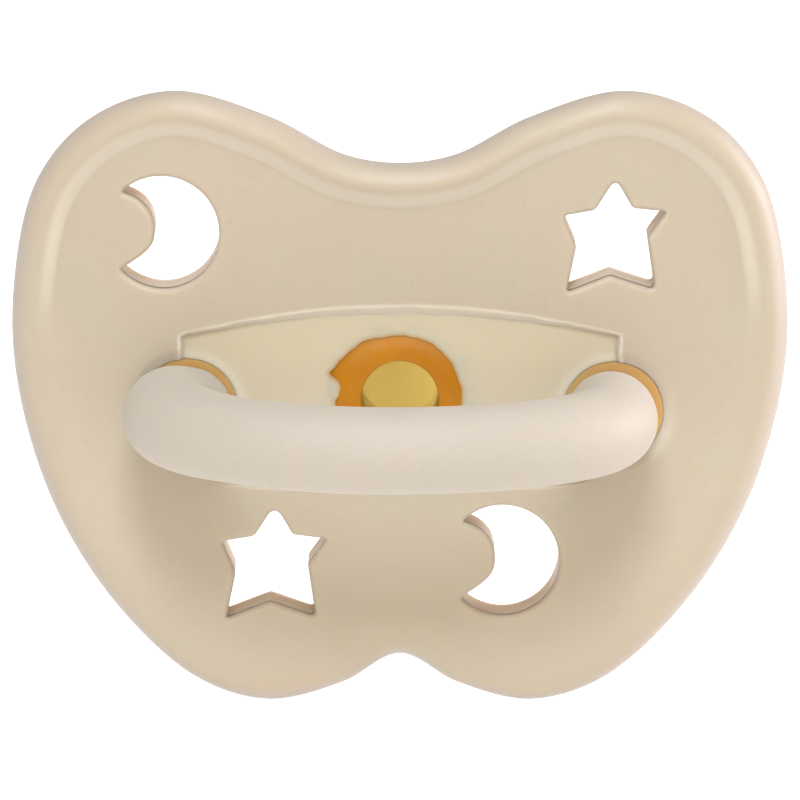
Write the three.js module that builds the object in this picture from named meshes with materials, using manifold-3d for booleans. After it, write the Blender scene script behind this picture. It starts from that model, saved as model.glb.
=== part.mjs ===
// A soft-rubber pacifier in four pieces: a shield with moon and star vents, a hollow teat,
// a base plate that locks the teat's flange to the shield from behind, and a bail handle
// whose rounded ends sit in two openings of the shield and two sockets of the base plate.
//
// Millimetres. X runs across the shield, Z up towards the nose notch, and Y along the teat:
// the teat points to +Y and the handle to -Y. The origin is on the teat's axis, in the plane
// of the base plate's back, where the lips rest.

import * as THREE from 'three';
import { mergeVertices } from 'three/addons/utils/BufferGeometryUtils.js';
import Module from 'manifold-3d';

const wasm = await Module();
wasm.setup();

const GAP = 0.3; // clearance between two pieces that touch

// Shield: right half of its outline, from the nose notch down to the chin notch.
const HALF_OUTLINE = [
  [0, 18.5],
  [4.25, 19.15],
  [10.0, 22.1],
  [17.5, 24.1],
  [23.9, 21.85],
  [28.25, 16.7],
  [30.2, 7.5],
  [29.8, -0.1],
  [27.05, -9.05],
  [22.3, -16.6],
  [15.9, -22.4],
  [10.2, -24.1],
  [4.45, -22.7],
  [0, -20.4],
];
const OUTLINE_STEPS = 88;
const FACE_Y = -4.7; // the shield's flat front land
const SHIELD_DEPTH = 4.3; // front land to back, on the teat's axis
const BACK_TAPER = 0.5; // how much thinner the shield is at its rim
const SWEEP_START = 12; // the wings bend back from here outwards
const SWEEP_END = 30;
const SWEEP_DEPTH = 3.0;

// Section of the rolled rim: [distance in from the edge, height behind the front land].
const RIM_FRONT = [
  [0.25, 0.15],
  [0.8, -0.8],
  [1.6, -1.2],
  [2.4, -0.95],
  [3.0, -0.4],
  [3.6, -0.08],
  [4.4, 0],
];
const RIM_SIDE = [0, 1.5];
const RIM_BACK = [
  [0.3, 2.9],
  [1.0, 3.55],
  [2.2, 3.8],
];
const INNER_RINGS = [0.75, 0.5, 0.25]; // share of the last rim ring's distance from the axis

// Recess in the front, and the membrane that is left behind it.
const RECESS_DEPTH = 0.65;
const RECESS_HALF_WIDTH = 16.8;
const RECESS_TOP = 6.8;
const RECESS_CORNER_Z = 4.95;
const RECESS_BOTTOM = -6.6;
const RECESS_BOTTOM_HALF_WIDTH = 10.4;
const RECESS_SIDE_END_Z = -3.0;
const MEMBRANE = 1.45;

// Openings in the shield.
const FOOT_X = 16.5;
const FOOT_Z = -0.88; // the handle's ends sit a little below the teat's axis
const FOOT_OPENING_R = 3.84;
const FOOT_CHAMFER = 0.5;
const MOON_R = 4.42;
const MOON_BITE_R = 3.0;
const MOON_BITE_X = -3.55;
const MOON_CENTRES = [
  [-18.4, 13.2],
  [8.0, -12.75],
];
const STAR_POINTS = [
  [0.2, 4.65],
  [-1.37, 2.2],
  [-3.86, 1.78],
  [-2.82, -0.67],
  [-3.55, -4.24],
  [-0.2, -2.94],
  [3.31, -4.17],
  [2.69, -0.03],
  [3.9, 1.99],
  [1.54, 2.31],
];
const STAR_CENTRES = [
  [16.45, 12.8],
  [-9.95, -13.05],
];

// Base plate: a middle disc and two end discs, joined by their tangents.
const PLATE_MIDDLE_R = 8.3;
const PLATE_END_R = 5.3;
const SOCKET_DEPTH = 1.0;

// Teat.
const BORE_R = 3.0;
const NECK_R = 4.8;
const NECK_END_Y = 3.0;
const FLANGE_R = 7.0;
const FLANGE_THICK = 1.0;
const BULB_Y = 19.5;
const BULB_R = 8.2;
const BULB_NOSE = 8.7; // from the widest ring to the tip
const BULB_INNER_R = 6.5;
const BULB_INNER_NOSE = 6.9;
const NECK_BEND_Y = 9.5; // the neck starts to swell about here
const SHOULDER_Y = 12.5; // and reaches the bulb's width after here
const TEAT_SIDES = 30;

// Handle.
const ROD_R = 3.3;
const HANDLE_END_X = 16.45;
const HANDLE_HALF_WIDTH = 17.1;
const PIVOT_IN_FRONT = 0.95; // from the recess floor forward to the middle of each rounded end
const HANDLE_TILT = 2; // degrees up from level, about the line through its ends
const LEG_LENGTH = 4.7;
const BOW_DEPTH = 11.5;
const LEG_SHARE = 0.12; // of the curve's parameter, for each straight leg
const ROD_SIDES = 18;
const ROD_STEPS = 34;

const RECESS_FLOOR_Y = FACE_Y + RECESS_DEPTH;
const MEMBRANE_BACK_Y = RECESS_FLOOR_Y + MEMBRANE;
const PLATE_FRONT_Y = MEMBRANE_BACK_Y + GAP;
const FLANGE_BACK_Y = PLATE_FRONT_Y + FLANGE_THICK;
const PIVOT_Y = RECESS_FLOOR_Y - PIVOT_IN_FRONT;
const PAST = 10; // how far a cutter runs past the shield
const POST_SIDES = 36;

const CREAM = { color: 0xe6d9c2, roughness: 0.45, metalness: 0 };
const CREAM_MATTE = { color: 0xe9dccd, roughness: 0.65, metalness: 0 };
const AMBER = { color: 0xcc8529, roughness: 0.35, metalness: 0 };

// ---- Solids ----

// Keeps only the positions, with shared corners merged and collapsed triangles dropped.
function closedGeometry(source) {
  const bare = new THREE.BufferGeometry();
  bare.setAttribute('position', source.getAttribute('position'));
  bare.setIndex(source.getIndex());
  const merged = mergeVertices(bare, 1e-4);
  const index = merged.getIndex().array;
  const kept = [];
  for (let i = 0; i < index.length; i += 3) {
    const [a, b, c] = [index[i], index[i + 1], index[i + 2]];
    if (a !== b && b !== c && c !== a) {
      kept.push(a, b, c);
    }
  }
  merged.setIndex(kept);
  return merged;
}

function toSolid(source) {
  const geometry = closedGeometry(source);
  return new wasm.Manifold(
    new wasm.Mesh({
      numProp: 3,
      vertProperties: new Float32Array(geometry.getAttribute('position').array),
      triVerts: new Uint32Array(geometry.getIndex().array),
    }),
  );
}

function toGeometry(solid) {
  const mesh = solid.getMesh();
  const geometry = new THREE.BufferGeometry();
  geometry.setAttribute('position', new THREE.BufferAttribute(mesh.vertProperties, 3));
  geometry.setIndex(new THREE.BufferAttribute(mesh.triVerts, 1));
  geometry.computeVertexNormals();
  return geometry;
}

function cutAll(solid, cutters) {
  return cutters.reduce((left, cutter) => left.subtract(cutter), solid);
}

// A shape drawn in X and Z, extruded along Y.
function prism(shape, fromY, toY, curveSegments = 12) {
  const geometry = new THREE.ExtrudeGeometry(shape, {
    depth: toY - fromY,
    bevelEnabled: false,
    steps: 1,
    curveSegments,
  });
  geometry.rotateX(Math.PI / 2);
  geometry.translate(0, toY, 0);
  return toSolid(geometry);
}

// A round post along Y, with its own radius at each end.
function post(x, z, fromY, toY, radiusFrom, radiusTo = radiusFrom) {
  const geometry = new THREE.CylinderGeometry(radiusTo, radiusFrom, toY - fromY, POST_SIDES);
  geometry.translate(x, (fromY + toY) / 2, z);
  return toSolid(geometry);
}

// ---- Shield ----

function sweep(x) {
  const share = Math.max(0, Math.abs(x) - SWEEP_START) / (SWEEP_END - SWEEP_START);
  return SWEEP_DEPTH * share * share;
}

function shieldOutline() {
  const right = HALF_OUTLINE.map(([x, z]) => new THREE.Vector3(x, 0, z));
  const left = HALF_OUTLINE.slice(1, -1).map(([x, z]) => new THREE.Vector3(-x, 0, z));
  const closed = new THREE.CatmullRomCurve3([...right, ...left.reverse()], true, 'centripetal');
  return closed.getSpacedPoints(OUTLINE_STEPS).slice(0, OUTLINE_STEPS);
}

// Rings of corners from the middle of the back, round the rim, to the middle of the front.
function shieldBlank() {
  const outline = shieldOutline();
  const innermost = RIM_FRONT[RIM_FRONT.length - 1][0];
  const ringAt = (inset, share, height) =>
    outline.map((edge) => {
      const reach = edge.length();
      const scale = (share * (reach - inset)) / reach;
      const x = edge.x * scale;
      return [x, FACE_Y + height + sweep(x), edge.z * scale];
    });
  const backHeight = (share) => SHIELD_DEPTH - BACK_TAPER * share;
  const inwards = INNER_RINGS;
  const outwards = [...INNER_RINGS].reverse();
  const rings = [
    ...outwards.map((share) => ringAt(innermost, share, backHeight(share))),
    ...[...RIM_BACK].reverse().map(([inset, height]) => ringAt(inset, 1, height)),
    ringAt(RIM_SIDE[0], 1, RIM_SIDE[1]),
    ...RIM_FRONT.map(([inset, height]) => ringAt(inset, 1, height)),
    ...inwards.map((share) => ringAt(innermost, share, 0)),
  ];
  const positions = rings.flat(2);
  const backMiddle = positions.length / 3;
  positions.push(0, FACE_Y + SHIELD_DEPTH, 0, 0, FACE_Y, 0);
  const frontMiddle = backMiddle + 1;
  const lastRing = (rings.length - 1) * OUTLINE_STEPS;
  const index = [];
  for (let i = 0; i < OUTLINE_STEPS; i += 1) {
    const next = (i + 1) % OUTLINE_STEPS;
    index.push(backMiddle, i, next);
    index.push(frontMiddle, lastRing + next, lastRing + i);
    for (let ring = 0; ring < rings.length - 1; ring += 1) {
      const near = ring * OUTLINE_STEPS;
      const far = near + OUTLINE_STEPS;
      index.push(near + i, far + i, far + next);
      index.push(near + i, far + next, near + next);
    }
  }
  const geometry = new THREE.BufferGeometry();
  geometry.setAttribute('position', new THREE.Float32BufferAttribute(positions, 3));
  geometry.setIndex(index);
  return toSolid(geometry);
}

function recessShape() {
  const rise = RECESS_TOP - RECESS_CORNER_Z;
  const radius = (RECESS_HALF_WIDTH ** 2 + rise ** 2) / (2 * rise);
  const half = Math.asin(RECESS_HALF_WIDTH / radius);
  const shape = new THREE.Shape();
  shape.absarc(0, RECESS_TOP - radius, radius, Math.PI / 2 - half, Math.PI / 2 + half);
  shape.lineTo(-RECESS_HALF_WIDTH, RECESS_SIDE_END_Z);
  shape.quadraticCurveTo(-RECESS_HALF_WIDTH, RECESS_BOTTOM, -RECESS_BOTTOM_HALF_WIDTH, RECESS_BOTTOM);
  shape.lineTo(RECESS_BOTTOM_HALF_WIDTH, RECESS_BOTTOM);
  shape.quadraticCurveTo(RECESS_HALF_WIDTH, RECESS_BOTTOM, RECESS_HALF_WIDTH, RECESS_SIDE_END_Z);
  return shape;
}

function moonShape([x, z]) {
  const hornX = (MOON_BITE_X ** 2 + MOON_R ** 2 - MOON_BITE_R ** 2) / (2 * MOON_BITE_X);
  const hornZ = Math.sqrt(MOON_R ** 2 - hornX ** 2);
  const outer = Math.atan2(hornZ, hornX);
  const inner = Math.atan2(hornZ, hornX - MOON_BITE_X);
  const shape = new THREE.Shape();
  shape.absarc(x, z, MOON_R, -outer, outer);
  shape.absarc(x + MOON_BITE_X, z, MOON_BITE_R, inner, -inner, true);
  return shape;
}

function starShape([x, z]) {
  return new THREE.Shape(STAR_POINTS.map(([dx, dz]) => new THREE.Vector2(x + dx, z + dz)));
}

function makeShield() {
  const front = FACE_Y - PAST;
  const back = PAST;
  const cutters = [
    prism(recessShape(), front, RECESS_FLOOR_Y),
    prism(plateShape(GAP), MEMBRANE_BACK_Y, back),
    post(0, 0, front, back, NECK_R + GAP),
    ...MOON_CENTRES.map((centre) => prism(moonShape(centre), front, back)),
    ...STAR_CENTRES.map((centre) => prism(starShape(centre), front, back)),
  ];
  for (const x of [-FOOT_X, FOOT_X]) {
    const landY = FACE_Y + sweep(x);
    cutters.push(post(x, FOOT_Z, front, back, FOOT_OPENING_R));
    const mouthR = FOOT_OPENING_R + 2 * FOOT_CHAMFER;
    const [mouthFrom, mouthTo] = [landY - FOOT_CHAMFER, landY + FOOT_CHAMFER];
    cutters.push(post(x, FOOT_Z, mouthFrom, mouthTo, mouthR, FOOT_OPENING_R));
  }
  return cutAll(shieldBlank(), cutters);
}

// ---- Base plate ----

function plateShape(grow) {
  const middle = PLATE_MIDDLE_R + grow;
  const end = PLATE_END_R + grow;
  const lean = Math.asin((middle - end) / FOOT_X);
  const up = Math.PI / 2;
  const shape = new THREE.Shape();
  shape.absarc(FOOT_X, FOOT_Z, end, lean - up, up - lean);
  shape.absarc(0, 0, middle, up - lean, up + lean);
  shape.absarc(-FOOT_X, FOOT_Z, end, up + lean, 3 * up - lean);
  shape.absarc(0, 0, middle, 3 * up - lean, 3 * up + lean);
  return shape;
}

function makeBasePlate() {
  const cutters = [
    post(0, 0, PLATE_FRONT_Y - 1, 1, NECK_R + GAP),
    post(0, 0, PLATE_FRONT_Y - 1, FLANGE_BACK_Y + GAP, FLANGE_R + GAP),
    post(-FOOT_X, FOOT_Z, PLATE_FRONT_Y - 1, PLATE_FRONT_Y + SOCKET_DEPTH, FOOT_OPENING_R),
    post(FOOT_X, FOOT_Z, PLATE_FRONT_Y - 1, PLATE_FRONT_Y + SOCKET_DEPTH, FOOT_OPENING_R),
  ];
  return cutAll(prism(plateShape(0), PLATE_FRONT_Y, 0), cutters);
}

// ---- Teat ----

// Radius against Y, from the outside of the tip, over the flange and mouth, to the inside of the tip.
function makeTeat() {
  const half = Math.PI / 2;
  const profile = new THREE.Path();
  profile.moveTo(0, BULB_Y + BULB_NOSE);
  profile.absellipse(0, BULB_Y, BULB_R, BULB_NOSE, half, 0, true);
  profile.bezierCurveTo(BULB_R, SHOULDER_Y, NECK_R, NECK_BEND_Y, NECK_R, NECK_END_Y);
  profile.lineTo(NECK_R, FLANGE_BACK_Y);
  profile.lineTo(FLANGE_R, FLANGE_BACK_Y);
  profile.lineTo(FLANGE_R, PLATE_FRONT_Y);
  profile.lineTo(NECK_R, PLATE_FRONT_Y);
  profile.lineTo(NECK_R, RECESS_FLOOR_Y);
  profile.lineTo(BORE_R, RECESS_FLOOR_Y);
  profile.lineTo(BORE_R, NECK_END_Y);
  profile.bezierCurveTo(BORE_R, NECK_BEND_Y, BULB_INNER_R, SHOULDER_Y, BULB_INNER_R, BULB_Y);
  profile.absellipse(0, BULB_Y, BULB_INNER_R, BULB_INNER_NOSE, 0, half);
  const onAxis = ({ x, y }) => new THREE.Vector2(x < 1e-6 ? 0 : x, y);
  const points = profile.getPoints(6).map(onAxis).reverse();
  return toSolid(new THREE.LatheGeometry(points, TEAT_SIDES));
}

// ---- Handle ----

class BailCurve extends THREE.Curve {
  getPoint(t, target = new THREE.Vector3()) {
    const side = t < 0.5 ? -1 : 1;
    const fromFoot = Math.min(t, 1 - t);
    const legEndY = PIVOT_Y - LEG_LENGTH;
    if (fromFoot < LEG_SHARE) {
      const share = fromFoot / LEG_SHARE;
      const flare = share * share * (3 - 2 * share);
      const x = THREE.MathUtils.lerp(HANDLE_END_X, HANDLE_HALF_WIDTH, flare);
      return target.set(side * x, PIVOT_Y - LEG_LENGTH * share, 0);
    }
    const turn = (Math.PI / 2) * ((fromFoot - LEG_SHARE) / (0.5 - LEG_SHARE));
    return target.set(
      side * HANDLE_HALF_WIDTH * Math.cos(turn),
      legEndY - BOW_DEPTH * Math.sin(turn),
      0,
    );
  }
}

function makeHandle() {
  const section = new THREE.Shape();
  section.absarc(0, 0, ROD_R, 0, 2 * Math.PI);
  const rod = new THREE.ExtrudeGeometry(section, {
    steps: ROD_STEPS,
    curveSegments: ROD_SIDES / 2,
    extrudePath: new BailCurve(),
  });
  const ends = [-HANDLE_END_X, HANDLE_END_X].map((x) => {
    const ball = new THREE.SphereGeometry(ROD_R * 0.995, ROD_SIDES, ROD_SIDES / 2);
    ball.translate(x, PIVOT_Y, 0);
    return toSolid(ball);
  });
  const level = toSolid(rod).add(ends[0]).add(ends[1]);
  return level
    .translate([0, -PIVOT_Y, 0])
    .rotate([-HANDLE_TILT, 0, 0])
    .translate([0, PIVOT_Y, FOOT_Z]);
}

// ---- Scene graph ----

const pieces = [
  ['shield', makeShield(), CREAM],
  ['base_plate', makeBasePlate(), AMBER],
  ['teat', makeTeat(), AMBER],
  ['handle', makeHandle(), CREAM_MATTE],
];

const pacifier = new THREE.Group();
for (const [name, solid, look] of pieces) {
  const mesh = new THREE.Mesh(toGeometry(solid), new THREE.MeshStandardMaterial(look));
  mesh.name = name;
  pacifier.add(mesh);
}

export default pacifier;
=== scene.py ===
"""The look of a soft-rubber pacifier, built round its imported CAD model.

X runs across the shield, Z up, and Y along the teat, with the handle in front at -Y. Shapes are worked
out in millimetres, and each mesh is scaled to metres as it is made. A height is a distance behind the
shield's flat front land, so a greater height is deeper into the shield.
"""

import math

import bpy
import numpy as np
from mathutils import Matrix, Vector
from mathutils.geometry import delaunay_2d_cdt


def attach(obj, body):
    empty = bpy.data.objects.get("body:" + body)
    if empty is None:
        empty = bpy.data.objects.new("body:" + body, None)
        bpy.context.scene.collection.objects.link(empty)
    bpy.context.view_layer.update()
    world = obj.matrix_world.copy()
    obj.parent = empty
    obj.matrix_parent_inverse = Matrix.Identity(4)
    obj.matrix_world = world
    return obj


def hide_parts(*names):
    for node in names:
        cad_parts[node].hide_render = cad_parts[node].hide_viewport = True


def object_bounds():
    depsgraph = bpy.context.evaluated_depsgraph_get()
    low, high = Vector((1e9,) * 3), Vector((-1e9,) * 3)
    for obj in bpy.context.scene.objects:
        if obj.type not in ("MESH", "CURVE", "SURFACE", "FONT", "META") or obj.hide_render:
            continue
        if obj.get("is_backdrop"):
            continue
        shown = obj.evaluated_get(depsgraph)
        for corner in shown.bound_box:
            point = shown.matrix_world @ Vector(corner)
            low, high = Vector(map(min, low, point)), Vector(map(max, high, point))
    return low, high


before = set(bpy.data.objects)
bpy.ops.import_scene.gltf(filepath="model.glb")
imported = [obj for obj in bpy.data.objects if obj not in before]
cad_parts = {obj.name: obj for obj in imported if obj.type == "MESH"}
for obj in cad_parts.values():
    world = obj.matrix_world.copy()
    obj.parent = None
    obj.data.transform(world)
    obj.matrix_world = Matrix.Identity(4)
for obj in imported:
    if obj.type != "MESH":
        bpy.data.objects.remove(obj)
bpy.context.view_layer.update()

MM = 0.001

# ---- Driving sizes, in millimetres ----

HALF_OUTLINE = [
    (0, 18.5), (4.25, 19.15), (10.0, 22.1), (17.5, 24.1), (23.9, 21.85), (28.25, 16.7), (30.2, 7.5),
    (29.8, -0.1), (27.05, -9.05), (22.3, -16.6), (15.9, -22.4), (10.2, -24.1), (4.45, -22.7), (0, -20.4),
]
FACE_Y = -4.7
SHIELD_DEPTH = 4.3
BACK_TAPER = 0.5
SWEEP_START, SWEEP_END, SWEEP_DEPTH = 12.0, 30.0, 3.0
MEMBRANE_BACK = 2.1
VENT_LIP, FOOT_LIP, MOUTH_LIP = 0.42, 0.25, 0.12  # how far each hole's front edge is rounded
PLATE_FRONT = 2.4
PLATE_BACK = 4.7
PLATE_ROUNDING, FRONT_SHARE = 0.5, 0.6  # the front's edge is rounded less than the back's
SOCKET_FLOOR = 1.0  # behind the base plate's front
GAP = 0.3  # round the base plate and the teat's flange
FLANGE_THICK = 1.0
SHIELD_GRID, PLATE_GRID = 0.7, 0.8  # spacing of the mesh points that fill both plates

RIM_CREST = 1.5  # from the edge in to the rim's crest
RIM_FOOT = 2.95  # and on to where the rim meets the inner face
RIM_RISE = 0.65
RIM_SIDE = 1.5  # height of the widest point of the rounded edge

RECESS_DEPTH = 0.65
RECESS_HALF_WIDTH = 16.8
RECESS_TOP, RECESS_CORNER_Z, RECESS_BOTTOM = 6.8, 4.95, -6.6
RECESS_BOTTOM_HALF_WIDTH, RECESS_SIDE_END_Z = 10.4, -3.0
LEDGE, SIDE_LEDGE = 0.72, 0.32  # width of the slope down into the recess, at its middle and at its sides

FOOT_OPENINGS = [((-16.45, -0.68), 3.78), ((16.55, -0.98), 3.84)]  # centre and radius
DISH, DISH_WIDTH = 0.45, 1.1  # how far, and over what width, the face falls to each opening's outer side
DISH_START, DISH_FULL = 16.4, 17.6  # distances from the middle between which that dish sets in
FEET = [(-16.42, -0.68), (16.25, -1.08)]  # the handle's ends lie off their openings' centres
FOOT_R = 3.38
COLLAR_LAP = 0.06  # how far the collars reach past the walls of the openings, into the shield
COLLAR_DROP = 0.1  # from the recess floor down to the amber collars
COLLAR_BITE = 0.03  # how much narrower than the round end in it each collar's hole is, in radius

MOON_R = 4.42
MOON_BITE = [
    (-3.1, 3.12), (-1.75, 2.5), (-0.85, 1.45), (-0.58, 0.3), (-0.75, -0.85), (-1.5, -1.75), (-3.1, -2.9),
]
MOON_CENTRES = [(-18.4, 13.2), (8.0, -12.75)]
STAR_POINTS = [
    (0.2, 4.65), (-1.37, 2.2), (-3.86, 1.78), (-2.82, -0.67), (-3.55, -4.24),
    (-0.2, -2.94), (3.31, -4.17), (2.69, -0.03), (4.15, 1.99), (1.54, 2.31),
]
STARS = [  # centre, size, and the rounding of each corner in the order above
    ((16.45, 12.8), 1.0, (0.5, 0.45, 0.35, 0.4, 0.2, 0.5, 0.4, 0.5, 0.15, 0.45)),
    ((-9.95, -13.05), 1.02, (0.7, 0.7, 0.15, 1.1, 0.1, 0.45, 0.4, 0.5, 0.12, 0.5)),
]

PLATE_MIDDLE_R, PLATE_END_R = 8.3, 5.3
PLATE_END_X, PLATE_END_Z = 16.5, -0.88
BORE_R, NECK_R, FLANGE_R = 3.0, 4.8, 7.0
NECK_GAP = 0.25  # between the teat's neck and the base plate
SKIN = 0.16  # thickness of the skin that laps over the mouth ring
MOUTH_EDGE = [  # edge of that skin, by degrees round the bore: radius
    (0, 4.76), (28, 4.81), (50, 4.95), (72, 5.02), (92, 4.99), (108, 5.1), (123, 5.36), (142, 5.44),
    (153, 5.62), (160, 5.92), (163, 4.95), (170, 4.6), (177, 4.68), (182, 5.05), (195, 4.9), (240, 4.8),
    (300, 4.76),
]
BULB_Y, BULB_R, BULB_NOSE = 19.5, 8.2, 8.7
BULB_INNER_R, BULB_INNER_NOSE = 6.5, 6.9

ROD_R = 3.3
HANDLE_HALF_WIDTH = 17.05
BOW_X, BOW_Z = -0.66, -0.32  # where the bow's middle has settled, beside the teat's axis
LEG_LENGTH, BOW_DEPTH = 4.7, 11.5
LEG_END_Z = (-0.05, -0.4)
LEG_END_R = (3.65, 3.45)
PIVOT_DEPTH = 0.95  # from the recess floor out to the middle of the handle's round ends
PIVOT_Y = FACE_Y + RECESS_DEPTH - PIVOT_DEPTH


# ---- Plane curves ----


def closed_spline(corners, spacing):
    """A closed centripetal Catmull-Rom curve through the corners, as evenly spaced points."""
    corners = np.array(corners, float)
    count = len(corners)
    pieces = []
    t = np.linspace(0, 1, 60, endpoint=False)[:, None]
    for i in range(count):
        p0, p1, p2, p3 = (corners[(i + k) % count] for k in (-1, 0, 1, 2))
        d0, d1, d2 = (math.sqrt(np.linalg.norm(b - a)) for a, b in ((p0, p1), (p1, p2), (p2, p3)))
        m1 = ((p1 - p0) / d0 - (p2 - p0) / (d0 + d1) + (p2 - p1) / d1) * d1
        m2 = ((p2 - p1) / d1 - (p3 - p1) / (d1 + d2) + (p3 - p2) / d2) * d1
        pieces.append(
            (2 * t**3 - 3 * t**2 + 1) * p1
            + (t**3 - 2 * t**2 + t) * m1
            + (3 * t**2 - 2 * t**3) * p2
            + (t**3 - t**2) * m2
        )
    return respaced(np.vstack(pieces), spacing)


def respaced(points, spacing):
    """The same closed line with evenly spaced points."""
    ring = np.vstack([points, points[:1]])
    along = np.r_[0, np.cumsum(np.linalg.norm(np.diff(ring, axis=0), axis=1))]
    count = max(12, round(along[-1] / spacing))
    at = np.linspace(0, along[-1], count, endpoint=False)
    return np.c_[np.interp(at, along, ring[:, 0]), np.interp(at, along, ring[:, 1])]


def open_spline(corners, steps):
    """A smooth open line through the corners."""
    corners = np.array(corners, float)
    ends = [2 * corners[0] - corners[1], *corners, 2 * corners[-1] - corners[-2]]
    t = np.linspace(0, 1, steps, endpoint=False)[:, None]
    pieces = []
    for p0, p1, p2, p3 in zip(ends, ends[1:], ends[2:], ends[3:]):
        pieces.append(
            0.5 * (2 * p1 + (p2 - p0) * t + (2 * p0 - 5 * p1 + 4 * p2 - p3) * t**2
                   + (3 * p1 - p0 - 3 * p2 + p3) * t**3)
        )
    return np.vstack([*pieces, corners[-1:]])


def arc(centre, radius, start, end, steps):
    angles = np.linspace(start, end, steps)
    return np.c_[centre[0] + radius * np.cos(angles), centre[1] + radius * np.sin(angles)]


def circle(centre, radius, spacing):
    steps = max(24, round(2 * math.pi * radius / spacing))
    return arc(centre, radius, 0, 2 * math.pi, steps + 1)[:-1]


def rounded_polygon(corners, radii, spacing):
    """A polygon whose corners are rounded off, each by its own radius."""
    corners = np.array(corners, float)
    points = []
    for i, radius in enumerate(radii):
        corner, before, after = corners[i], corners[i - 1], corners[(i + 1) % len(corners)]
        to_before = (before - corner) / np.linalg.norm(before - corner)
        to_after = (after - corner) / np.linalg.norm(after - corner)
        half = 0.5 * math.acos(np.clip(to_before @ to_after, -1, 1))
        cut = min(radius / math.tan(half), 0.45 * np.linalg.norm(before - corner),
                  0.45 * np.linalg.norm(after - corner))
        t = np.linspace(0, 1, 12)[:, None]
        points.append((1 - t) ** 2 * (corner + cut * to_before) + 2 * t * (1 - t) * corner
                      + t**2 * (corner + cut * to_after))
    return respaced(np.vstack(points), spacing)


def turned_left(loop):
    """The loop in anticlockwise order."""
    x, z = loop.T
    area = np.sum(x * np.roll(z, -1) - np.roll(x, -1) * z)
    return loop if area > 0 else loop[::-1]


def offset(loop, distance):
    """An anticlockwise loop moved outwards by a distance, or inwards by a negative one."""
    along = np.roll(loop, -1, axis=0) - np.roll(loop, 1, axis=0)
    along /= np.linalg.norm(along, axis=1)[:, None]
    return loop + distance * np.c_[along[:, 1], -along[:, 0]]


def distance_to(points, loop):
    """How far each point is from a closed loop, negative inside it."""
    px, pz = points.T
    nearest = np.full(len(points), np.inf)
    inside = np.zeros(len(points), bool)
    for (ax, az), (bx, bz) in zip(loop, np.roll(loop, -1, axis=0)):
        ex, ez = bx - ax, bz - az
        share = np.clip(((px - ax) * ex + (pz - az) * ez) / (ex * ex + ez * ez), 0, 1)
        nearest = np.minimum(nearest, (px - ax - share * ex) ** 2 + (pz - az - share * ez) ** 2)
        if az != bz:
            crosses = ((az > pz) != (bz > pz)) & (px < ax + ex * (pz - az) / ez)
            inside ^= crosses
    return np.where(inside, -1, 1) * np.sqrt(nearest)


def wobble(points, size, seed):
    """Smooth unevenness between about -1 and 1, with waves of the given size."""
    x, z = points[:, 0] / size, points[:, 1] / size
    total = np.zeros(len(points))
    for k in range(5):
        turn = 2.4 * k + seed
        along = x * math.cos(turn) + z * math.sin(turn)
        total += np.sin(6.28 * along * (0.6 + 0.17 * k) + 1.7 * seed * k)
    return total / 3


def fade(value, low, high):
    """0 at low, 1 at high and smooth between."""
    share = np.clip((value - low) / (high - low), 0, 1)
    return share * share * (3 - 2 * share)


# ---- Meshes ----


def new_object(name, points, faces, material):
    mesh = bpy.data.meshes.new(name)
    mesh.from_pydata((np.asarray(points) * MM).tolist(), [], faces)
    mesh.validate()
    mesh.update()
    mesh.polygons.foreach_set("use_smooth", [True] * len(mesh.polygons))
    mesh.materials.append(material)
    thing = bpy.data.objects.new(name, mesh)
    bpy.context.scene.collection.objects.link(thing)
    return thing


def new_piece(name, points, faces, body, node, material):
    piece = new_object(name, points, faces, material)
    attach(piece, body)
    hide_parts(node)
    return piece


def paint(piece, name, values):
    """Stores one number for each corner point, for the material to read."""
    layer = piece.data.attributes.new(name, "FLOAT", "POINT")
    layer.data.foreach_set("value", np.asarray(values, np.float32))


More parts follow.
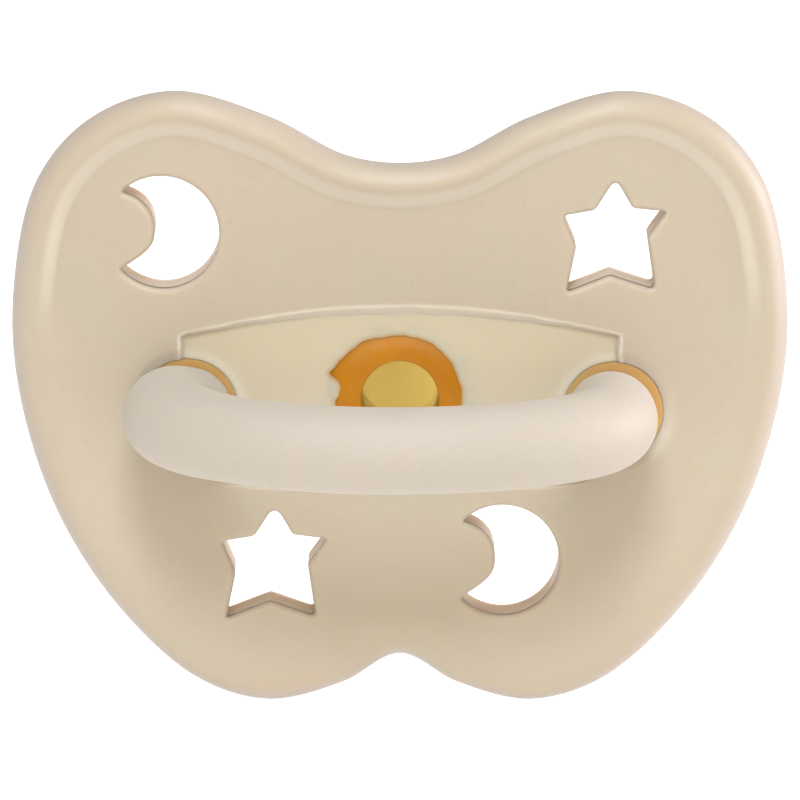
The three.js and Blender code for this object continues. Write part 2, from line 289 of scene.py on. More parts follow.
class Plate:
    """A moulded plate: one outline, some holes, and a front and a back height over the same plan.

    Rings of points follow the outline, the holes and each step in the faces, so that rounded edges
    come out smooth. solid takes the front and back heights as one value for each of the plan's points.
    """

    def __init__(self, outline, edge_insets, holes, steps, grid, wall_rows=5):
        self.outline = turned_left(outline)
        self.edge_insets = edge_insets
        self.holes = [(turned_left(loop), lips) for loop, lips in holes]
        self.steps = [(turned_left(loop), rings) for loop, rings in steps]
        self.grid = grid
        self.wall_rows = wall_rows
        self.make_plan()

    def make_plan(self):
        loops, known = [], []
        for inset in self.edge_insets:
            loops.append(offset(self.outline, -inset))
            known.append(("edge", inset))
        for index, (loop, lips) in enumerate(self.holes):
            for lip in lips:
                loops.append(offset(loop, lip))
                known.append((index, lip))
        for loop, rings in self.steps:
            for ring in rings:
                loops.append(offset(loop, ring))
                known.append((None, 0))
        filling = self.filling()
        points = np.vstack([*loops, filling])
        edges, owner, start = [], [], 0
        for number, loop in enumerate(loops):
            count = len(loop)
            edges += [(start + i, start + (i + 1) % count) for i in range(count)]
            owner += [number] * count
            start += count
        plan = delaunay_2d_cdt([Vector(p) for p in points.tolist()], edges, [], 0, 1e-6)
        self.points = np.array([tuple(v) for v in plan[0]])
        self.from_edge = -distance_to(self.points, self.outline)
        self.from_holes = [distance_to(self.points, loop) for loop, _ in self.holes]
        self.rim_row = {}
        self.hole_rows = [{} for _ in self.holes]
        for place, sources in enumerate(plan[3]):
            for source in sources:
                if source >= len(owner):
                    continue
                kind, value = known[owner[source]]
                if kind == "edge":
                    self.from_edge[place] = value
                    if value == 0:
                        self.rim_row[source] = place
                elif kind is not None:
                    self.from_holes[kind][place] = value
                    if value == 0:
                        self.hole_rows[kind][source] = place
        triangles = np.array([f for f in plan[2] if len(f) == 3])
        middles = self.points[triangles].mean(axis=1)
        keep = distance_to(middles, self.outline) < 0
        for loop, _ in self.holes:
            keep &= distance_to(middles, loop) > 0
        self.triangles = triangles[keep]

    def filling(self):
        """Points on a staggered grid, clear of every ring."""
        low, high = self.outline.min(0), self.outline.max(0)
        rows = []
        for i, z in enumerate(np.arange(low[1], high[1], self.grid * 0.87)):
            row_x = np.arange(low[0] + (i % 2) * self.grid / 2, high[0], self.grid)
            rows.append(np.c_[row_x, np.full(len(row_x), z)])
        points = np.vstack(rows)
        margin = 0.45 * self.grid
        clear = distance_to(points, self.outline) < -(max(self.edge_insets) + margin)
        for loop, lips in self.holes:
            clear &= distance_to(points, loop) > max(lips) + margin
        for loop, rings in self.steps:
            away = distance_to(points, loop)
            clear &= (away > max(rings) + margin) | (away < min(rings) - margin)
        return points[clear]

    def solid(self, front, back, sweep):
        """Corner points and faces of the closed plate, from a height for each plan point on each face."""
        count = len(self.points)
        shift = sweep(self.points[:, 0])
        x, z = self.points.T
        corners = np.vstack([
            np.c_[x, FACE_Y + front + shift, z],
            np.c_[x, FACE_Y + back + shift, z],
        ])
        faces = [tuple(t) for t in self.triangles.tolist()]
        rim = set(self.rim_row.values())
        back_of = [i if i in rim else i + count for i in range(count)]
        faces += [tuple(back_of[i] for i in reversed(t)) for t in self.triangles.tolist()]
        for row in self.hole_rows:
            ring = [row[key] for key in sorted(row)]
            last = ring
            for k in range(1, self.wall_rows):
                share = k / self.wall_rows
                start = len(corners)
                between = (1 - share) * corners[ring] + share * corners[[i + count for i in ring]]
                corners = np.vstack([corners, between])
                faces += self.band(last, list(range(start, start + len(ring))))
                last = list(range(start, start + len(ring)))
            faces += self.band(last, [i + count for i in ring])
        used = sorted({i for face in faces for i in face})
        place = {old: new for new, old in enumerate(used)}
        return corners[used], [tuple(place[i] for i in face) for face in faces]

    @staticmethod
    def band(near, far):
        """Four-sided faces between two closed rows of corner points."""
        count = len(near)
        return [(near[i], far[i], far[(i + 1) % count], near[(i + 1) % count]) for i in range(count)]


def lip(distance, radius):
    """How far a rounded edge falls away at a distance from the hole's wall."""
    short = np.clip((radius - distance) / radius, 0, 1)
    return radius * (1 - np.sqrt(1 - short**2))


def edge_rings(radius, count):
    """Ring distances that share a quarter turn of a rounded edge evenly."""
    return [radius * (1 - math.cos(0.5 * math.pi * k / count)) for k in range(count + 1)]


# ---- Materials ----


def node_tree(name):
    material = bpy.data.materials.new(name)
    material.use_nodes = True
    tree = material.node_tree
    shader = tree.nodes["Principled BSDF"]
    return material, tree, shader


def noise(tree, scale, detail=3.0, roughness=0.55):
    coords = tree.nodes.new("ShaderNodeTexCoord")
    node = tree.nodes.new("ShaderNodeTexNoise")
    node.inputs["Scale"].default_value = scale
    node.inputs["Detail"].default_value = detail
    node.inputs["Roughness"].default_value = roughness
    tree.links.new(coords.outputs["Object"], node.inputs["Vector"])
    return node.outputs["Fac"]


def ramp(tree, source, low, high, start, end):
    node = tree.nodes.new("ShaderNodeMapRange")
    node.inputs["From Min"].default_value = low
    node.inputs["From Max"].default_value = high
    node.inputs["To Min"].default_value = start
    node.inputs["To Max"].default_value = end
    tree.links.new(source, node.inputs["Value"])
    return node.outputs["Result"]


def blend_colours(tree, factor, first, second):
    """first and second are either colours or the outputs of other nodes."""
    node = tree.nodes.new("ShaderNodeMix")
    node.data_type = "RGBA"
    tree.links.new(factor, node.inputs["Factor"])
    for socket, colour in ((node.inputs["A"], first), (node.inputs["B"], second)):
        if isinstance(colour, tuple):
            socket.default_value = (*colour, 1)
        else:
            tree.links.new(colour, socket)
    return node.outputs["Result"]


def painted(tree, name):
    node = tree.nodes.new("ShaderNodeAttribute")
    node.attribute_name = name
    return node.outputs["Fac"]


def bump(tree, shader, layers):
    """Adds fine relief from several noises: (scale, height in metres)."""
    last = None
    for scale, depth in layers:
        node = tree.nodes.new("ShaderNodeBump")
        node.inputs["Distance"].default_value = depth
        tree.links.new(noise(tree, scale), node.inputs["Height"])
        if last is not None:
            tree.links.new(last, node.inputs["Normal"])
        last = node.outputs["Normal"]
    tree.links.new(last, shader.inputs["Normal"])


def rubber(name, colour, second, roughness, glow, reach=1.5 * MM):
    """Milky rubber: two close tints in soft clouds, uneven gloss, fine relief and light under the skin."""
    material, tree, shader = node_tree(name)
    clouds = ramp(tree, noise(tree, 140.0, 2.0), 0.35, 0.65, 0.0, 1.0)
    base = blend_colours(tree, clouds, colour, second)
    specks = ramp(tree, noise(tree, 1400.0, 4.0, 0.7), 0.58, 0.78, 0.0, 0.6)
    base = blend_colours(tree, specks, base, tuple(0.88 * part for part in colour))
    gloss = ramp(tree, noise(tree, 900.0), 0.3, 0.7, roughness - 0.05, roughness + 0.06)
    tree.links.new(gloss, shader.inputs["Roughness"])
    shader.inputs["Subsurface Weight"].default_value = glow
    shader.inputs["Subsurface Radius"].default_value = (1.0, 0.75, 0.5)
    shader.inputs["Subsurface Scale"].default_value = reach
    bump(tree, shader, [(2600.0, 0.000012), (420.0, 0.00003)])
    tree.links.new(base, shader.inputs["Base Color"])
    return material, tree, shader, base


CREAM, CREAM_WARM = (0.378, 0.319, 0.224), (0.388, 0.314, 0.222)
# Recess floor: its own slightly yellower tone, plus painted light that lifts the shade inside the recess.
RECESS_TONE_AND_LIGHT = (0.46, 0.388, 0.263)
# Vents' walls: their own pink tone, plus painted light that lifts the shade inside the vents.
WALL_PINK_AND_LIGHT = (0.62, 0.50, 0.38)
# Painted highlight, on the slope into the recess, the rim's inner slope and round the handle's openings.
PAINTED_HIGHLIGHT = (0.62, 0.57, 0.47)
# Painted sheen where the surface turns away from the eye, with a slight pink tone.
GRAZING_SHEEN = (0.39, 0.335, 0.3)
HANDLE_TINT, HANDLE_WARM = (0.376, 0.342, 0.278), (0.386, 0.337, 0.28)
AMBER, AMBER_DARK = (0.40, 0.155, 0.004), (0.36, 0.13, 0.003)
PLATE_AMBER, PLATE_AMBER_DARK = (0.46, 0.285, 0.11), (0.45, 0.25, 0.075)


def turned_away(tree, base, colour):
    """Tints a colour where the surface turns away from the eye: a painted sheen, paler and cooler, that
    stands in for grazing reflection, with a slight pink tone.
    """
    node = tree.nodes.new("ShaderNodeLayerWeight")
    node.inputs["Blend"].default_value = 0.35
    return blend_colours(tree, node.outputs["Facing"], base, colour)


def shield_material():
    material, tree, shader, base = rubber("milky_rubber", CREAM, CREAM_WARM, 0.48, 0.6)
    # Painted sheen at the grazing edges, with a slight pink tone.
    base = turned_away(tree, base, GRAZING_SHEEN)
    # Painted light: the recess floor is lighter as well as yellower, to lift the shade in the recess.
    base = blend_colours(tree, painted(tree, "recess"), base, RECESS_TONE_AND_LIGHT)
    # Painted light: the vents' walls are lighter as well as pinker, to lift their shade.
    base = blend_colours(tree, painted(tree, "wall"), base, WALL_PINK_AND_LIGHT)
    # Painted highlights on the recess's slope, the rim's inner slope and round the openings.
    base = blend_colours(tree, painted(tree, "pale"), base, PAINTED_HIGHLIGHT)
    base = blend_colours(tree, painted(tree, "amber"), base, AMBER)
    tree.links.new(base, shader.inputs["Base Color"])
    return material


def handle_material():
    material, *_ = rubber("matte_rubber", HANDLE_TINT, HANDLE_WARM, 0.58, 0.8, 4 * MM)
    return material


def amber_material(name, colour, second, roughness, see_through):
    """Amber rubber, which lets some of the light behind it through."""
    material, tree, shader, _ = rubber(name, colour, second, roughness, 0.3)
    shader.inputs["Subsurface Radius"].default_value = (1.0, 0.45, 0.12)
    shader.inputs["Specular IOR Level"].default_value = 0.2
    if see_through:
        glow = tree.nodes.new("ShaderNodeBsdfTranslucent")
        glow.inputs["Color"].default_value = (0.96, 0.87, 0.45, 1)
        mix = tree.nodes.new("ShaderNodeMixShader")
        tree.links.new(ramp(tree, painted(tree, "thin"), 0, 1, 0, see_through), mix.inputs["Fac"])
        output = tree.nodes["Material Output"]
        tree.links.new(shader.outputs["BSDF"], mix.inputs[1])
        tree.links.new(glow.outputs["BSDF"], mix.inputs[2])
        tree.links.new(mix.outputs["Shader"], output.inputs["Surface"])
    return material


# ---- Shield ----


def sweep(x):
    """How far the shield bends back at its sides."""
    share = np.maximum(0, np.abs(x) - SWEEP_START) / (SWEEP_END - SWEEP_START)
    return SWEEP_DEPTH * share * share


def shield_outline(spacing=0.34):
    left = [(-x, z) for x, z in HALF_OUTLINE[1:-1]]
    return closed_spline([*HALF_OUTLINE, *reversed(left)], spacing)


def moon(centre, spacing=0.2):
    (top_x, top_z), (low_x, low_z) = MOON_BITE[0], MOON_BITE[-1]
    outer = arc((0, 0), MOON_R, math.atan2(low_z, low_x), math.atan2(top_z, top_x), 120)
    bite = open_spline(MOON_BITE, 14)[1:-1]
    loop = rounded_horns(np.vstack([outer, bite]), spacing)
    return loop + np.array(centre)


def rounded_horns(loop, spacing):
    """Takes the sharpness off a loop's tips."""
    loop = respaced(loop, spacing / 2)
    for _ in range(3):
        loop = 0.25 * np.roll(loop, 1, axis=0) + 0.5 * loop + 0.25 * np.roll(loop, -1, axis=0)
    return respaced(loop, spacing)


def recess_outline(spacing=0.3):
    rise = RECESS_TOP - RECESS_CORNER_Z
    radius = (RECESS_HALF_WIDTH**2 + rise**2) / (2 * rise)
    half = math.asin(RECESS_HALF_WIDTH / radius)
    top = arc((0, RECESS_TOP - radius), radius, math.pi / 2 - half, math.pi / 2 + half, 90)
    t = np.linspace(0, 1, 16)[:, None]
    wide = np.array([-RECESS_HALF_WIDTH, RECESS_SIDE_END_Z])
    low = np.array([-RECESS_BOTTOM_HALF_WIDTH, RECESS_BOTTOM])
    bend = np.array([-RECESS_HALF_WIDTH, RECESS_BOTTOM])
    left = (1 - t) ** 2 * wide + 2 * t * (1 - t) * bend + t**2 * low
    right = left[::-1] * np.array([-1, 1])
    return respaced(np.vstack([top, left, right]), spacing)


def plate_outline(grow, spacing=0.3):
    middle, end = PLATE_MIDDLE_R + grow, PLATE_END_R + grow
    lean = math.asin((middle - end) / PLATE_END_X)
    up = math.pi / 2
    return respaced(np.vstack([
        arc((PLATE_END_X, PLATE_END_Z), end, lean - up, up - lean, 40),
        arc((0, 0), middle, up - lean, up + lean, 12),
        arc((-PLATE_END_X, PLATE_END_Z), end, up + lean, 3 * up - lean, 40),
        arc((0, 0), middle, 3 * up - lean, 3 * up + lean, 12),
    ]), spacing)


def mouth_hole(spacing=0.16):
    """The ragged edge of the skin round the teat's mouth, with a tongue of it on the left."""
    angle, radius = (np.array(column, float) for column in zip(*MOUTH_EDGE))
    at = np.linspace(0, 360, round(2 * math.pi * NECK_R / spacing), endpoint=False)
    reach = np.interp(at, np.r_[angle, 360], np.r_[radius, radius[0]])
    turn = np.radians(at)
    reach = reach + 0.035 * np.sin(13 * turn) + 0.02 * np.sin(29 * turn + 2.0)
    return respaced(np.c_[reach * np.cos(turn), reach * np.sin(turn)], spacing)


def ledge_width(x, z):
    """Width of the slope down into the recess, which narrows away from the middle of its top."""
    return SIDE_LEDGE + (LEDGE - SIDE_LEDGE) * (1 - fade(np.abs(x), 3.0, 19.0)) * fade(z, 0.0, 4.0)


def rim_front(inset, sharp):
    """Front height across the rolled rim: round edge, crest, then a fall to the inner face."""
    outer = np.clip(1 - inset / RIM_CREST, 0, 1)
    edge = RIM_SIDE - (RIM_SIDE + RIM_RISE) * np.sqrt(1 - outer**2)
    foot = RIM_CREST + (RIM_FOOT - RIM_CREST) * (1.35 - 0.35 * sharp)
    share = (inset - RIM_CREST) / (foot - RIM_CREST)
    fall = -RIM_RISE * (1 - share**2)
    soft = 0.16 + 0.5 * (1 - sharp)
    inner = -RIM_RISE * np.log(np.exp(-fall / soft) + 1) / np.log(np.exp(RIM_RISE / soft) + 1)
    return np.where(inset < RIM_CREST, edge, inner)


def rim_back(inset):
    """How far the back's rounded edge falls short of the full depth."""
    width, drop = 2.2, SHIELD_DEPTH - BACK_TAPER - RIM_SIDE
    outer = np.clip(1 - inset / width, 0, 1)
    return drop * (1 - np.sqrt(1 - outer**2))


def shield_plan(recess, pocket, mouth):
    """The shield's plan, whose holes are the four vents, the two openings and the mouth, in that order."""
    vent_rings = [*edge_rings(VENT_LIP, 6), 0.6, 0.85, 1.2]
    foot_rings = [*edge_rings(FOOT_LIP, 5), 0.4, 0.6, 0.8, 1.0]
    mouth_rings = [*edge_rings(MOUTH_LIP, 4), 0.25, 0.45]
    holes = [(moon(centre), vent_rings) for centre in MOON_CENTRES]
    for centre, size, radii in STARS:
        corners = size * np.array(STAR_POINTS) + np.array(centre)
        holes.append((rounded_polygon(corners, radii, 0.2), vent_rings))
    holes += [(circle(centre, radius, 0.25), foot_rings) for centre, radius in FOOT_OPENINGS]
    holes.append((mouth, mouth_rings))
    insets = [*edge_rings(RIM_CREST, 14), *np.arange(1.7, 5.3, 0.2).tolist()]
    slope_rings = [1.05, 0.9, 0.78, 0.66, 0.54, 0.42, 0.3, 0.2, 0.12, 0.05, 0.0, -0.06, -0.14, -0.25]
    steps = [(recess, slope_rings), (pocket, [0.3, 0.1, 0.03, -0.03, -0.2])]
    return Plate(shield_outline(), insets, holes, steps, SHIELD_GRID)


def shield_front(plate, recess):
    """Height of the front: rolled rim, recess, and the rounded and dished edges of the holes."""
    points = plate.points
    x, z = points.T
    sharp = fade(z, 2.0, 9.0) * fade(-np.abs(x), -29.0, -24.0)
    front = rim_front(plate.from_edge, sharp)
    front = front + fade(plate.from_edge, 2.0, 5.0) * 0.02 * wobble(points, 11.0, 1.3)
    outside = distance_to(points, recess) + 0.04 * wobble(points, 2.3, 0.4) + 0.02 * wobble(points, 0.9, 2.0)
    climb = np.clip(outside / ledge_width(x, z), 0, 1)
    front = front + RECESS_DEPTH * (1 - climb) ** 1.5 * (1 + 0.5 * climb)
    lip_sizes = [VENT_LIP] * 4 + [FOOT_LIP] * 2 + [MOUTH_LIP]
    for away, size in zip(plate.from_holes, lip_sizes):
        front = front + lip(away, size)
    for away in plate.from_holes[4:6]:
        front = front + DISH * (1 - fade(away, 0.0, DISH_WIDTH)) * fade(np.abs(x), DISH_START, DISH_FULL)
    return np.where(plate.from_edge <= 0, RIM_SIDE, front)


def shield_back(plate, pocket):
    """Height of the back: rounded edge, the base plate's pocket, and the thin skin over the mouth ring."""
    points = plate.points
    x, z = points.T
    share = 1 - np.clip(plate.from_edge / 20, 0, 1)
    back = SHIELD_DEPTH - BACK_TAPER * share - rim_back(plate.from_edge)
    in_pocket = fade(-distance_to(points, pocket), -0.05, 0.05)
    back = back + (MEMBRANE_BACK - sweep(x) - back) * in_pocket
    over_ring = 1 - fade(np.hypot(x, z), NECK_R + 1.25, NECK_R + 1.45)
    back = back + (RECESS_DEPTH + SKIN - back) * over_ring
    for away in plate.from_holes[:6]:
        back = back - lip(away, 0.12)
    return back


def paint_shield(piece, plate, corners, recess, mouth):
    """Marks the recess floor and the vents' walls (their own tones, lightened as painted light that lifts
    the shade inside them), the painted highlights on the recess's slope, the rim's inner slope and round the
    openings, and the amber round the mouth.
    """
    plan = corners[:, [0, 2]]
    z = plan[:, 1]
    depth = corners[:, 1] - FACE_Y - sweep(corners[:, 0])
    in_front = 1 - fade(depth, 1.4, 2.0)
    outside = distance_to(plan, recess)
    # Recess floor colour: its own tone plus painted light lifting the recess's shade.
    paint(piece, "recess", fade(-outside, -0.25, 0.25) * in_front)
    # Vents' walls: own pink tone plus painted light lifting the shade inside the vents.
    wall_tone_and_light = np.zeros(len(corners))
    for loop, _ in plate.holes[:4]:
        wall_tone_and_light = np.maximum(wall_tone_and_light, 1 - fade(distance_to(plan, loop), 0.0, 0.1))
    paint(piece, "wall", wall_tone_and_light * fade(depth, 0.4, 1.0))
    # Painted highlights: on the slope into the recess, on the rim's inner slope near the top, and a halo
    # round each of the handle's openings.
    ledge = ledge_width(*plan.T)
    ledge_highlight = fade(outside, -0.1, 0.1) * (1 - fade(outside, ledge, ledge + 0.25)) * fade(z, -4.0, -1.0)
    inset = -distance_to(plan, plate.outline)
    slope_highlight = fade(inset, 1.9, 2.5) * (1 - fade(inset, 3.0, 3.3)) * fade(z, 4.0, 12.0)
    pale = np.maximum(0.52 * ledge_highlight, 0.3 * slope_highlight)
    for loop, _ in plate.holes[4:6]:
        pale = np.maximum(pale, 0.4 * (1 - fade(distance_to(plan, loop), 0.5, 1.2)))
    # The "pale" attribute carries these painted highlights.
    paint(piece, "pale", pale * in_front)
    paint(piece, "amber", 0.7 * (1 - fade(distance_to(plan, mouth), 0.0, 0.4)) * in_front)


def make_shield():
    recess = recess_outline()
    pocket = plate_outline(GAP)
    mouth = mouth_hole()
    plate = shield_plan(recess, pocket, mouth)
    corners, faces = plate.solid(shield_front(plate, recess), shield_back(plate, pocket), sweep)
    piece = new_piece("shield_skin", corners, faces, "shield", "shield", shield_material())
    paint_shield(piece, plate, corners, recess, mouth)


# ---- Base plate ----


def make_base_plate():
    outline = plate_outline(0)
    collar_top = RECESS_DEPTH + COLLAR_DROP
    socket_r = math.sqrt(FOOT_R**2 - (PIVOT_DEPTH + COLLAR_DROP) ** 2) - COLLAR_BITE
    sockets = [circle(foot, socket_r, 0.25) for foot in FEET]
    collars = [circle(centre, radius + COLLAR_LAP, 0.25) for centre, radius in FOOT_OPENINGS]
    counterbore = circle((0, 0), FLANGE_R + GAP, 0.3)
    rings = [0.2, 0.03, -0.03, -0.2]
    collar_rings = [0.02, -0.02]
    plate = Plate(
        outline,
        [*edge_rings(PLATE_ROUNDING, 6), 0.8],
        [(circle((0, 0), NECK_R + NECK_GAP, 0.25), [*edge_rings(0.2, 4), 0.4])],
        [(counterbore, rings), *((loop, collar_rings) for loop in sockets + collars)],
        PLATE_GRID,
        wall_rows=3,
    )
    points = plate.points
    rounding = lip(plate.from_edge, PLATE_ROUNDING)
    front = PLATE_FRONT + rounding * FRONT_SHARE
    for socket, collar in zip(sockets, collars):
        raised = distance_to(points, collar) < 0
        sunk = distance_to(points, socket) < 0
        front = np.where(raised, collar_top, front)
        front = np.where(raised & sunk, PLATE_FRONT + SOCKET_FLOOR, front)
    front = front + (FLANGE_THICK + GAP) * fade(-distance_to(points, counterbore), -0.03, 0.03)
    back = PLATE_BACK - rounding + 0.01 * wobble(points, 9.0, 0.8)
    for away in plate.from_holes:
        back = back - lip(away, 0.2)
    middle = 0.5 * (PLATE_FRONT + PLATE_ROUNDING * FRONT_SHARE + PLATE_BACK - PLATE_ROUNDING)
    front = np.where(plate.from_edge <= 0, middle, front)
    corners, faces = plate.solid(front, back, lambda x: 0 * x)
    look = amber_material("amber_plate_rubber", PLATE_AMBER, PLATE_AMBER_DARK, 0.34, 0.0)
    piece = new_piece("base_plate_skin", corners, faces, "shield", "base_plate", look)
    piece.data.set_sharp_from_angle(angle=math.radians(50))


# ---- Teat ----


def cubic(p0, p1, p2, p3, steps):
    t = np.linspace(0, 1, steps)[:, None]
    p0, p1, p2, p3 = (np.array(p, float) for p in (p0, p1, p2, p3))
    return (1 - t) ** 3 * p0 + 3 * t * (1 - t) ** 2 * p1 + 3 * t**2 * (1 - t) * p2 + t**3 * p3


def quarter(radius, nose, steps):
    """A quarter ellipse from the widest ring to just short of the tip on the axis."""
    angle = np.linspace(0, math.pi / 2, steps)[:-1]
    return np.c_[radius * np.cos(angle), BULB_Y + nose * np.sin(angle)]


def teat_profile():
    """Radius against Y: outside from the tip to the mouth, then inside back to the tip."""
    flange_back = FACE_Y + PLATE_FRONT + FLANGE_THICK
    flange_front = FACE_Y + PLATE_FRONT
    mouth = FACE_Y + RECESS_DEPTH + 0.06
    ring = NECK_R + 1.2
    corner = 0.22
    outside = [
        quarter(BULB_R, BULB_NOSE, 26)[::-1],
        cubic((BULB_R, BULB_Y), (BULB_R, 12.5), (NECK_R, 9.5), (NECK_R, 3.0), 30)[1:],
        np.array([(NECK_R, 1.0), (NECK_R, flange_back + 0.3), (NECK_R + 0.3, flange_back)]),
        arc((FLANGE_R - corner, flange_back - corner), corner, math.pi / 2, 0, 5),
        arc((FLANGE_R - corner, flange_front + corner), corner, 0, -math.pi / 2, 5),
        np.array([(ring + 0.15, flange_front), (ring, flange_front - 0.2), (ring, mouth + 0.3)]),
        np.array([(ring - 0.12, mouth + SKIN), (NECK_R + 0.2, mouth + 0.12), (NECK_R - 0.2, mouth + 0.02)]),
        np.array([(0.5 * (BORE_R + NECK_R), mouth - 0.02)]),
        arc((BORE_R + corner, mouth + corner), corner, -math.pi / 2, -math.pi, 6),
    ]
    inside = [
        np.array([(BORE_R, 0.0)]),
        cubic((BORE_R, 3.0), (BORE_R, 9.5), (BULB_INNER_R, 12.5), (BULB_INNER_R, BULB_Y), 30),
        quarter(BULB_INNER_R, BULB_INNER_NOSE, 24)[1:],
    ]
    return np.vstack([*outside, *inside])


def tube_faces(rows, sides):
    """Faces of a tube whose rings of points follow one another."""
    faces = []
    for row in range(rows - 1):
        for i in range(sides):
            j = (i + 1) % sides
            faces.append((row * sides + i, row * sides + j, (row + 1) * sides + j, (row + 1) * sides + i))
    return faces


def make_teat(sides=112):
    profile = teat_profile()
    turn = np.linspace(0, 2 * math.pi, sides, endpoint=False)
    corners = [(r * math.cos(a), y, r * math.sin(a)) for r, y in profile for a in turn]
    rows = len(profile)
    faces = tube_faces(rows, sides)
    outer_tip, inner_tip = len(corners), len(corners) + 1
    corners += [(0, BULB_Y + BULB_NOSE, 0), (0, BULB_Y + BULB_INNER_NOSE, 0)]
    last = (rows - 1) * sides
    for i in range(sides):
        j = (i + 1) % sides
        faces.append((outer_tip, j, i))
        faces.append((inner_tip, last + i, last + j))
    look = amber_material("amber_rubber", AMBER, AMBER_DARK, 0.30, 0.62)
    piece = new_piece("teat_skin", corners, faces, "shield", "teat", look)
    from_mouth = np.array(corners)[:, 1] - (FACE_Y + RECESS_DEPTH)
    paint(piece, "thin", fade(from_mouth, 0.3, 1.5))


# ---- Handle ----


def bail_line(steps):
    """The handle's centre line and its radius, from the left foot round to the right one."""
    share = np.linspace(0, 1, steps)
    blend = share * (2 - share)
    turn = np.linspace(0, math.pi / 2, 2 * steps)[1:]
    halves = []
    for side, (foot_x, foot_z), leg_end_z, leg_end_r in zip((-1, 1), FEET, LEG_END_Z, LEG_END_R):
        leg_end_x = BOW_X + side * HANDLE_HALF_WIDTH
        leg = np.c_[
            foot_x + (leg_end_x - foot_x) * blend,
            PIVOT_Y - LEG_LENGTH * share,
            foot_z + (leg_end_z - foot_z) * blend,
        ]
        bow = np.c_[
            BOW_X + side * HANDLE_HALF_WIDTH * np.cos(turn),
            PIVOT_Y - LEG_LENGTH - BOW_DEPTH * np.sin(turn),
            BOW_Z + (leg_end_z - BOW_Z) * np.cos(turn) ** 2,
        ]
        path = np.vstack([leg, bow])
        reach = (PIVOT_Y - path[:, 1]) / (LEG_LENGTH + BOW_DEPTH)
        leg_share = LEG_LENGTH / (LEG_LENGTH + BOW_DEPTH)
        radius = np.interp(reach, (0, leg_share, 0.8), (FOOT_R, leg_end_r, ROD_R))
        halves.append(np.c_[path, radius])
    left, right = halves
    line = np.vstack([left[:-1], right[::-1]])
    return line[:, :3], line[:, 3]


def make_handle(sides=56):
    line, radii = bail_line(34)
    along = np.gradient(line, axis=0)
    along /= np.linalg.norm(along, axis=1)[:, None]
    rings = list(zip(line, along, radii))
    caps = 10
    for end, sign in ((0, -1), (-1, 1)):
        point, tangent, radius = line[end], along[end], radii[end]
        cap = []
        for k in range(1, caps):
            angle = 0.5 * math.pi * k / caps
            centre = point + sign * tangent * radius * math.sin(angle)
            cap.append((centre, tangent, radius * math.cos(angle)))
        rings = [*reversed(cap), *rings] if end == 0 else [*rings, *cap]
    corners = []
    turn = np.linspace(0, 2 * math.pi, sides, endpoint=False)[:, None]
    for centre, tangent, radius in rings:
        across = np.cross(tangent, (0, 0, 1))
        across /= np.linalg.norm(across)
        up = np.cross(across, tangent)
        corners.extend(centre + radius * (np.cos(turn) * across + np.sin(turn) * up))
    faces = [(b, a, d, c) for a, b, c, d in tube_faces(len(rings), sides)]
    first, last = len(corners), len(corners) + 1
    corners.append(line[0] - along[0] * radii[0])
    corners.append(line[-1] + along[-1] * radii[-1])
    row = (len(rings) - 1) * sides
    for i in range(sides):
        j = (i + 1) % sides
        faces.append((first, i, j))
        faces.append((last, row + j, row + i))
    new_piece("handle_skin", corners, faces, "handle", "handle", handle_material())


# ---- Stage ----


FLOOR_RINGS = ((1000, 0), (2000, 0), (2400, 20), (2700, 80), (3000, 260))  # radius and rise
FLOOR_GREY, FLOOR_GLOW = 0.5, 0.85


def make_floor():
    """A wide pale disc that turns up at its far edge, so that no horizon shows."""
    low = min(corner[2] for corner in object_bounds()) / MM - 0.1
    sides = 64
    corners = [(0, 0, low)]
    for radius, rise in FLOOR_RINGS:
        corners += [(x, y, low + rise) for x, y in arc((0, 0), radius, 0, 2 * math.pi, sides + 1)[:-1]]
    faces = [(0, 1 + i, 1 + (i + 1) % sides) for i in range(sides)]
    for first in range(1, len(corners) - sides, sides):
        near, far = range(first, first + sides), range(first + sides, first + 2 * sides)
        faces += Plate.band(list(near), list(far))
    material, _, shader = node_tree("pale_floor")
    shader.inputs["Base Color"].default_value = (FLOOR_GREY, FLOOR_GREY, FLOOR_GREY, 1)
    shader.inputs["Roughness"].default_value = 0.9
    shader.inputs["Specular IOR Level"].default_value = 0.1
    shader.inputs["Emission Color"].default_value = (1, 1, 1, 1)
    shader.inputs["Emission Strength"].default_value = FLOOR_GLOW
    new_object("floor", corners, faces, material)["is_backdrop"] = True


def aim(thing, target):
    direction = Vector(target) - thing.location
    thing.rotation_euler = direction.to_track_quat("-Z", "Y").to_euler()


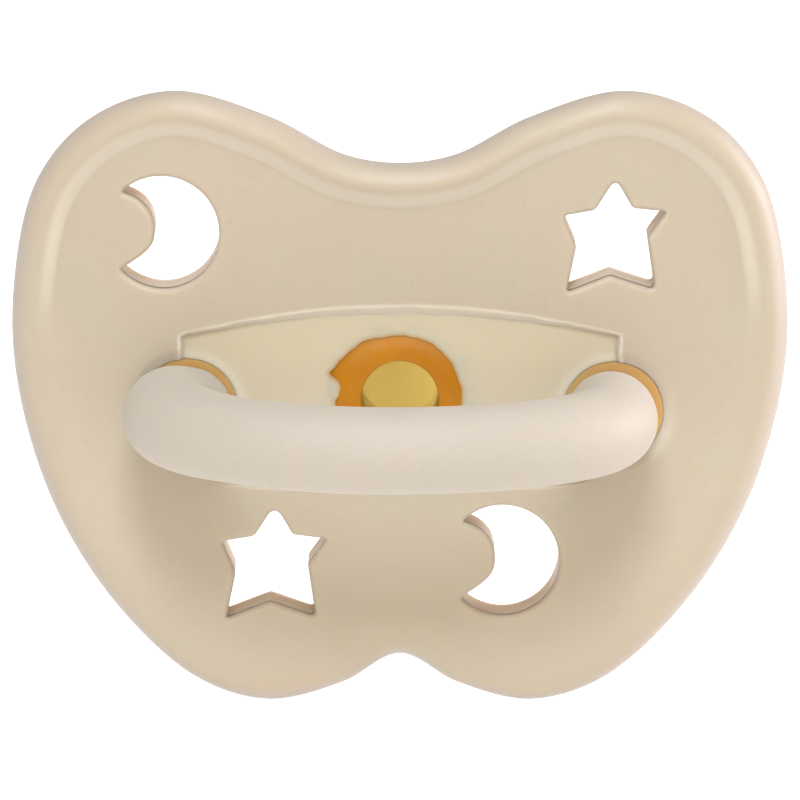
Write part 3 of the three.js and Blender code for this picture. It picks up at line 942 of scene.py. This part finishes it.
def area_light(name, azimuth, elevation, distance, size, power, colour):
    """A square light that faces the shield. Azimuth 0 is straight in front, 90 on the right."""
    data = bpy.data.lights.new(name, "AREA")
    data.shape = "SQUARE"
    data.size = size
    data.energy = power
    data.color = colour
    light = bpy.data.objects.new(name, data)
    bpy.context.scene.collection.objects.link(light)
    a, e = math.radians(azimuth), math.radians(elevation)
    light.location = (
        distance * math.cos(e) * math.sin(a),
        -distance * math.cos(e) * math.cos(a),
        distance * math.sin(e),
    )
    aim(light, (0, 0, 0))
    light.visible_camera = False


SKY_COLOUR, SKY_STRENGTH = (1.0, 0.9, 0.75, 1), 0.46
# Name, azimuth and elevation in degrees, distance and size in metres, power, colour.
LIGHTS = [
    ("key", -1, 44, 0.9, 0.25, 5.4, (0.88, 1.0, 1.2)),
    ("top", 0, 78, 0.8, 0.4, 2.9, (0.96, 1.0, 1.07)),
    ("fill", 0, 11, 1.0, 0.5, 3.7, (1.0, 0.93, 0.82)),
    ("side", 104, 12, 0.5, 0.25, 1.9, (1.0, 0.93, 0.97)),
]


def make_lights():
    """A warm even sky, cooler lights above, a soft one straight ahead and one grazing from the right."""
    world = bpy.data.worlds.new("studio")
    bpy.context.scene.world = world
    world.use_nodes = True
    background = world.node_tree.nodes["Background"]
    background.inputs["Color"].default_value = SKY_COLOUR
    background.inputs["Strength"].default_value = SKY_STRENGTH
    for light in LIGHTS:
        area_light(*light)


CAMERA_DISTANCE = 0.556
CAMERA_ELEVATION = 12.0
TARGET_Z = 0.1 * MM
VIEW_WIDTH = 62.1 * MM  # across the picture, at the shield's face


def make_camera():
    data = bpy.data.cameras.new("camera")
    data.sensor_width = 36
    data.lens = data.sensor_width * CAMERA_DISTANCE / VIEW_WIDTH
    camera = bpy.data.objects.new("camera", data)
    bpy.context.scene.collection.objects.link(camera)
    e = math.radians(CAMERA_ELEVATION)
    target = Vector((0, FACE_Y * MM, TARGET_Z))
    camera.location = target + CAMERA_DISTANCE * Vector((0, -math.cos(e), math.sin(e)))
    aim(camera, target)
    bpy.context.scene.camera = camera


make_shield()
make_base_plate()
make_teat()
make_handle()
make_floor()
make_lights()
make_camera()
bpy.context.scene.view_settings.view_transform = "Standard"
